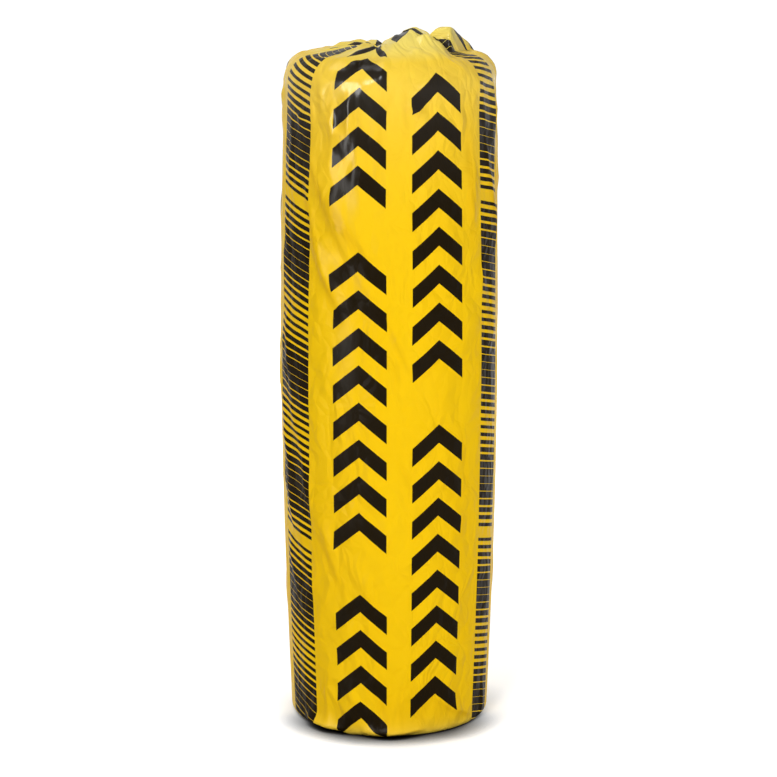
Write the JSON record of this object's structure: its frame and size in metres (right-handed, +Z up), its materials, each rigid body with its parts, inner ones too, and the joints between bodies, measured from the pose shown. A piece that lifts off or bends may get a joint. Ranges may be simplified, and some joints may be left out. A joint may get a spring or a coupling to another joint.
{
  "type": "insulation roll",
  "caption": "Tall roll of glass wool insulation that stands on its end in a sleeve of printed yellow film, gathered and tucked into the hollow at both ends.",
  "frame": {"origin": "centre of the foot, on the floor that the roll stands on", "axes": "+Z up along the roll's axis, front towards -Y"},
  "size_m": [0.3874, 0.3874, 1.2493],
  "materials": {
    "wool": "soft matted glass fibre",
    "film": "thin glossy printed polyethylene film"
  },
  "bodies": {
    "root": {"wool_roll": "wool", "film_wrap": "film"}
  },
  "joints": []
}
